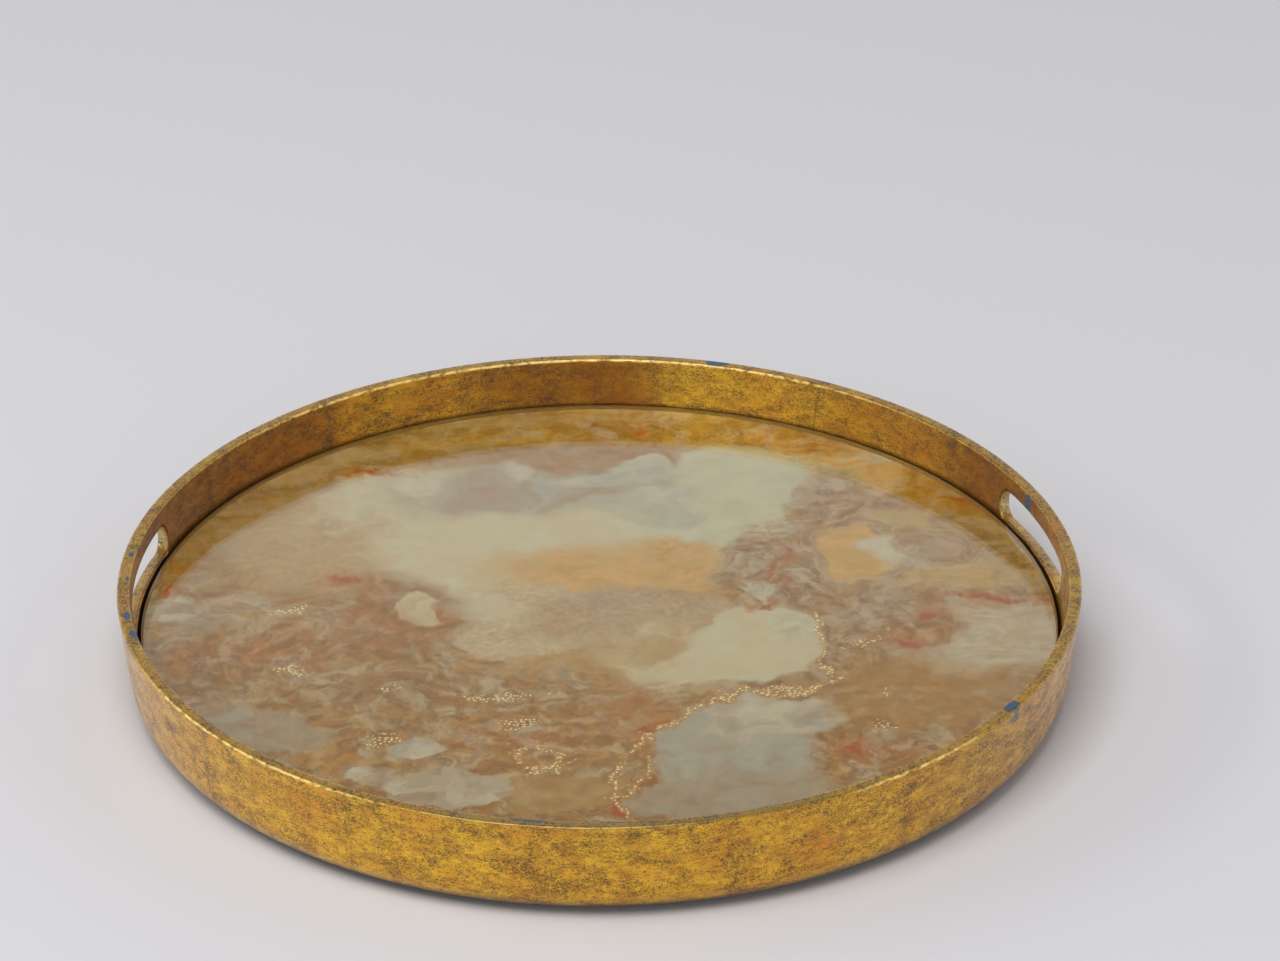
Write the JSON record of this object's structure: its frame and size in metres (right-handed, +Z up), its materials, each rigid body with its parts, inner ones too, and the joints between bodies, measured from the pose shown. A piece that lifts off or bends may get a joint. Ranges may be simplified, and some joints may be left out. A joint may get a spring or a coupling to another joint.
{
  "type": "round serving tray",
  "caption": "Round serving tray with a leaning gilded wooden wall, finger slots and a sunken glass floor over an onyx-patterned layer.",
  "frame": {"origin": "middle of the tray on the surface that it stands on", "axes": "+Z up, out of the open side; +X to the right through the middle; the finger slots lie at +X and -X, both set back towards +Y"},
  "size_m": [0.5156, 0.5156, 0.058],
  "materials": {
    "gold_leaf": "turned wood gilded with aged metal leaf, lacquered, satin",
    "stained_board": "fibreboard stained dark, matte",
    "onyx_paint": "painted onyx pattern in cream, tan, grey and rust, sealed behind the glass",
    "float_glass": "clear float glass, polished, with ground edges",
    "pad_rubber": "plain black, matte"
  },
  "bodies": {
    "root": {"rim_hoop": "gold_leaf", "foot_ring": "gold_leaf", "base_board": "stained_board", "onyx_layer": "onyx_paint", "glass_panel": "float_glass", "pad_1": "pad_rubber", "pad_2": "pad_rubber", "pad_3": "pad_rubber", "pad_4": "pad_rubber"}
  },
  "joints": []
}
